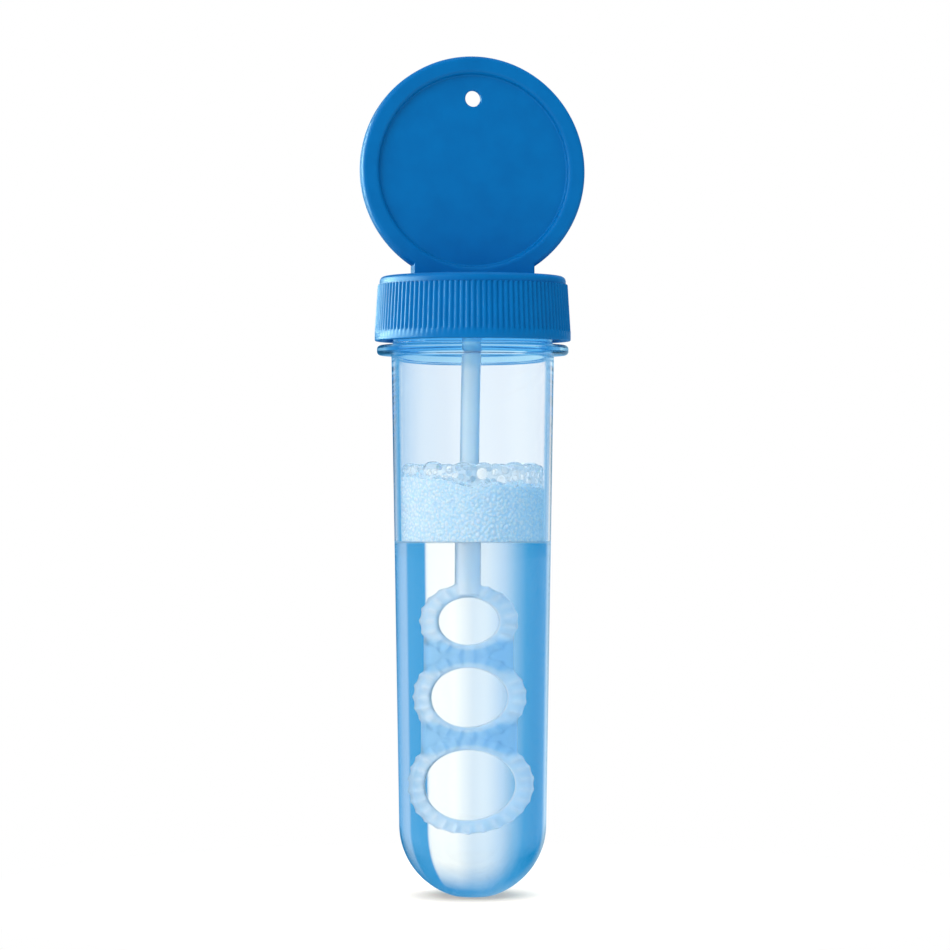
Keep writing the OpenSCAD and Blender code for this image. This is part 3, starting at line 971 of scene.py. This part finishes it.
def make_floor():
    """A white floor that keeps the object's shadow, with a painted contact shadow in its glow."""
    mesh = bpy.data.meshes.new("floor")
    side = 4.0
    corners = [(-side, -side, 0), (side, -side, 0), (side, side, 0), (-side, side, 0)]
    mesh.from_pydata(corners, [], [(0, 1, 2, 3)])
    floor = bpy.data.objects.new("floor", mesh)
    bpy.context.scene.collection.objects.link(floor)
    material, nodes = new_material("white_floor")
    place = nodes.add("TexCoord").outputs["Object"]
    shade = nodes.ramp(noise(nodes, place, 3), ((0.3, (0.84, 0.77, 0.67)), (0.7, (0.86, 0.79, 0.69))))
    matt = nodes.add("BsdfDiffuse", {"Color": shade})
    # Painted contact shadow: the floor's glow dims where the object is near, with a warm tint where it is
    # darkest
    open_share = nodes.add("AmbientOcclusion", {"Distance": SHADOW_REACH}, samples=16).outputs["AO"]
    soft = nodes.ramp(open_share, ((0.2, (0.15, 0.04, 0.0)), (0.85, (1, 1, 1))))
    path = nodes.add("LightPath")
    shown = nodes.spread(path.outputs["Is Camera Ray"], FLOOR_GLOW, FLOOR_GLOW + FLOOR_SHOWN)
    glow = nodes.add("Emission", {"Color": soft, "Strength": shown})
    near = nodes.add("AddShader")
    nodes.tree.links.new(matt.outputs["BSDF"], near.inputs[0])
    nodes.tree.links.new(glow.outputs["Emission"], near.inputs[1])
    white = nodes.add("Emission", {"Color": (1, 1, 1, 1), "Strength": 1.0})
    away = nodes.add("VectorMath", {0: place}, operation="LENGTH")
    ends = {"From Min": FLOOR_WHITE_FROM, "From Max": FLOOR_WHITE_AT}
    fade = nodes.add("MapRange", {"Value": away.outputs["Value"], **ends})
    camera_ray = path.outputs["Is Camera Ray"]
    far = nodes.add("Math", {0: fade.outputs["Result"], 1: camera_ray}, operation="MULTIPLY")
    both = nodes.add("MixShader", {"Fac": far.outputs[0]})
    nodes.tree.links.new(near.outputs["Shader"], both.inputs[1])
    nodes.tree.links.new(white.outputs["Emission"], both.inputs[2])
    nodes.add("OutputMaterial", {"Surface": both.outputs["Shader"]})
    floor.data.materials.append(material)
    floor.visible_transmission = False
    floor.visible_glossy = False


# Colours of the boards round the object, by how glass, gloss and what the vial holds see them
WHITE, WINDOW, HAZE, PALE = (1, 1, 1), (1.5, 1.3, 1.12), (1.05, 1.05, 1.05), (0.72, 0.85, 0.98)
LIGHT, MID, BOARD, DEEP = (0.5, 0.68, 0.88), (0.31, 0.59, 0.83), (0.055, 0.39, 0.72), (0.0, 0.3, 0.64)
DIM = (0.01, 0.06, 0.13)
AIR, AIR_LEFT, AIR_SIDE = (1.07, 1.05, 1.06), (0.88, 0.93, 1.0), (0.8, 0.89, 1.0)
AIR_RIGHT, AIR_EDGE = (1.28, 1.18, 1.12), (1.75, 1.42, 1.22)
HELD, HELD_LEFT, HELD_RIGHT = (1.0, 1.25, 1.5), (1.95, 1.6, 1.4), (0.6, 1.15, 1.65)
HELD_FRONT, HELD_BRIGHT, HELD_BLUE = (0.78, 0.97, 1.1), (2.1, 1.9, 1.8), (0.85, 1.25, 1.7)
SHADE = (0.02, 0.25, 0.55)

# A ray that leaves the vial has crossed more surfaces than this where it passed the liquid, and than
# the second number where it passed the wand in the liquid
WET_CROSSINGS = 4.5
HELD_CROSSINGS = 6.5

# Between which upward parts of a ray's direction the boards end, above the liquid and below the air
BOARDS_TOP = (0.2, 0.6)
BOARDS_FOOT = (-0.05, -0.3)


def make_world():
    """White to the camera, a faint grey for open surfaces, and boards of white and blue for the rest."""
    world = bpy.data.worlds.new("studio")
    bpy.context.scene.world = world
    world.use_nodes = True
    nodes = Nodes(world.node_tree)
    way = nodes.add("TexCoord").outputs["Generated"]
    turned = nodes.add("VectorRotate", {"Vector": way, "Angle": -CAMERA_AZIMUTH}, rotation_type="Z_AXIS")
    parts = nodes.add("SeparateXYZ", {"Vector": turned.outputs["Vector"]})
    bearing = nodes.add("Math", operation="ARCTAN2")
    nodes.tree.links.new(parts.outputs["X"], bearing.inputs[0])
    nodes.tree.links.new(parts.outputs["Y"], bearing.inputs[1])
    spot = nodes.add("MapRange", {"Value": bearing.outputs[0], "From Min": -math.pi, "From Max": math.pi})

    def at(degrees):
        return 0.5 + degrees / 360

    filled = nodes.ramp(spot.outputs["Result"], [(at(degrees), colour) for degrees, colour in (
        (-180, WHITE), (-165, PALE), (-135, DEEP), (-112, MID), (-105, WHITE), (-74, WHITE), (-57, PALE),
        (-50, DEEP), (-38, DEEP), (-25, BOARD), (-18, MID), (-12, PALE), (-5, HAZE), (0, WHITE),
        (7, WINDOW), (19.5, WINDOW), (21, BOARD), (35, BOARD), (38, LIGHT), (46, LIGHT), (61, BOARD),
        (75, DEEP), (85, WHITE), (105, WHITE), (112, MID), (135, DEEP), (165, PALE),
    )])
    empty = nodes.ramp(spot.outputs["Result"], [(at(degrees), colour) for degrees, colour in (
        (-180, WHITE), (-165, PALE), (-135, DEEP), (-112, MID), (-100, BOARD), (-80, DEEP), (-60, DEEP),
        (-40, BOARD), (-27, MID), (-19, AIR_SIDE), (-9.5, AIR_LEFT), (-2, AIR), (8, AIR_RIGHT),
        (18, AIR_EDGE), (24, LIGHT), (40, MID), (60, BOARD), (80, BOARD), (100, BOARD), (112, MID),
        (135, DEEP), (165, PALE),
    )])
    mirrored = nodes.ramp(spot.outputs["Result"], [(at(degrees), colour) for degrees, colour in (
        (-180, DIM), (-120, DIM), (-80, MID), (-50, SHADE), (-5, SHADE), (8, MID), (25, MID), (45, DEEP),
        (80, DIM),
    )])
    inside = nodes.ramp(spot.outputs["Result"], [(at(degrees), colour) for degrees, colour in (
        (-180, HELD_FRONT), (-90, HELD_LEFT), (-35, HELD_BLUE), (0, HELD), (16, HELD_BRIGHT), (32, HELD),
        (90, HELD_RIGHT), (180, HELD_FRONT),
    )])
    path = nodes.add("LightPath")
    crossed = path.outputs["Transmission Depth"]
    held = nodes.add("Math", {0: crossed, 1: HELD_CROSSINGS}, operation="GREATER_THAN")
    either = nodes.add("Math", {0: path.outputs["Diffuse Depth"], 1: held.outputs[0]}, operation="ADD")
    scattered = nodes.add("Math", {0: either.outputs[0], 1: 1.0}, operation="MINIMUM")
    wet = nodes.add("Math", {0: crossed, 1: WET_CROSSINGS}, operation="GREATER_THAN")
    rise = parts.outputs["Z"]
    above = nodes.add("MapRange", {"Value": rise, "From Min": BOARDS_TOP[0], "From Max": BOARDS_TOP[1]})
    below = nodes.add("MapRange", {"Value": rise, "From Min": BOARDS_FOOT[0], "From Max": BOARDS_FOOT[1]})
    over = nodes.mix(above.outputs["Result"], filled, (*BOARD, 1))
    under = nodes.mix(below.outputs["Result"], empty, (*BOARD, 1))
    through = nodes.mix(wet.outputs[0], under, over)
    seen = nodes.mix(scattered.outputs[0], through, inside)
    plain = nodes.mix(path.outputs["Is Glossy Ray"], AMBIENT, mirrored)
    bright = nodes.mix(path.outputs["Is Transmission Ray"], plain, seen)
    shown = nodes.mix(path.outputs["Is Camera Ray"], bright, (1, 1, 1, 1))
    back = nodes.add("Background", {"Color": shown, "Strength": 1.0})
    nodes.add("OutputWorld", {"Surface": back.outputs["Background"]})


def make_lamp(name, place, aim, width, height, watts, colour=(1, 1, 1), shine=False):
    """A soft box that the camera doesn't see. With shine it shows in gloss and lights nothing else."""
    data = bpy.data.lights.new(name, "AREA")
    data.shape = "RECTANGLE"
    data.size, data.size_y = width, height
    data.energy = watts
    data.color = colour
    lamp = bpy.data.objects.new(name, data)
    lamp.location = place
    lamp.rotation_euler = (Vector(aim) - Vector(place)).to_track_quat("-Z", "Y").to_euler()
    lamp.visible_camera = False
    lamp.visible_glossy = shine
    lamp.visible_diffuse = not shine
    lamp.visible_transmission = False
    bpy.context.scene.collection.objects.link(lamp)
    return lamp


def make_camera():
    """The photo's view: level, from a little left of square to the tag."""
    back = Vector((math.sin(CAMERA_AZIMUTH), -math.cos(CAMERA_AZIMUTH), 0))
    right = Vector((math.cos(CAMERA_AZIMUTH), math.sin(CAMERA_AZIMUTH), 0))
    middle = PHOTO_SIDE / 2
    aside = (middle - PHOTO_AXIS_X) * PHOTO_MM
    height = (PHOTO_FOOT_Y - middle) * PHOTO_MM
    data = bpy.data.cameras.new("camera")
    data.sensor_width = SENSOR
    data.lens = SENSOR * CAMERA_DISTANCE / (PHOTO_SIDE * PHOTO_MM)
    camera = bpy.data.objects.new("camera", data)
    camera.location = (back * CAMERA_DISTANCE + right * aside + Vector((0, 0, height))) * MM
    camera.rotation_euler = (-back).to_track_quat("-Z", "Y").to_euler()
    bpy.context.scene.collection.objects.link(camera)
    bpy.context.scene.camera = camera


make_floor()
make_world()
MIDDLE = (0, 0, 0.065)
make_lamp("left_box", (-0.71, -0.55, 0.68), MIDDLE, 0.7, 0.7, 6.4)
make_lamp("top_box", (0.1, 0.1, 1.0), MIDDLE, 0.9, 0.9, 4)
gloss = make_lamp("left_card", (-0.9, 0.42, 0.15), MIDDLE, 1.45, 0.9, 82, (0.7, 1.0, 0.78), True)
shiny = bpy.data.collections.new("shiny_pieces")
for piece in (cap, tag):
    shiny.objects.link(piece)
gloss.light_linking.receiver_collection = shiny
make_camera()
bpy.context.scene.view_settings.view_transform = "Standard"
bpy.context.scene.cycles.transparent_max_bounces = 48
bpy.context.scene.cycles.max_bounces = 24
bpy.context.scene.cycles.glossy_bounces = 16
bpy.context.scene.cycles.transmission_bounces = 24
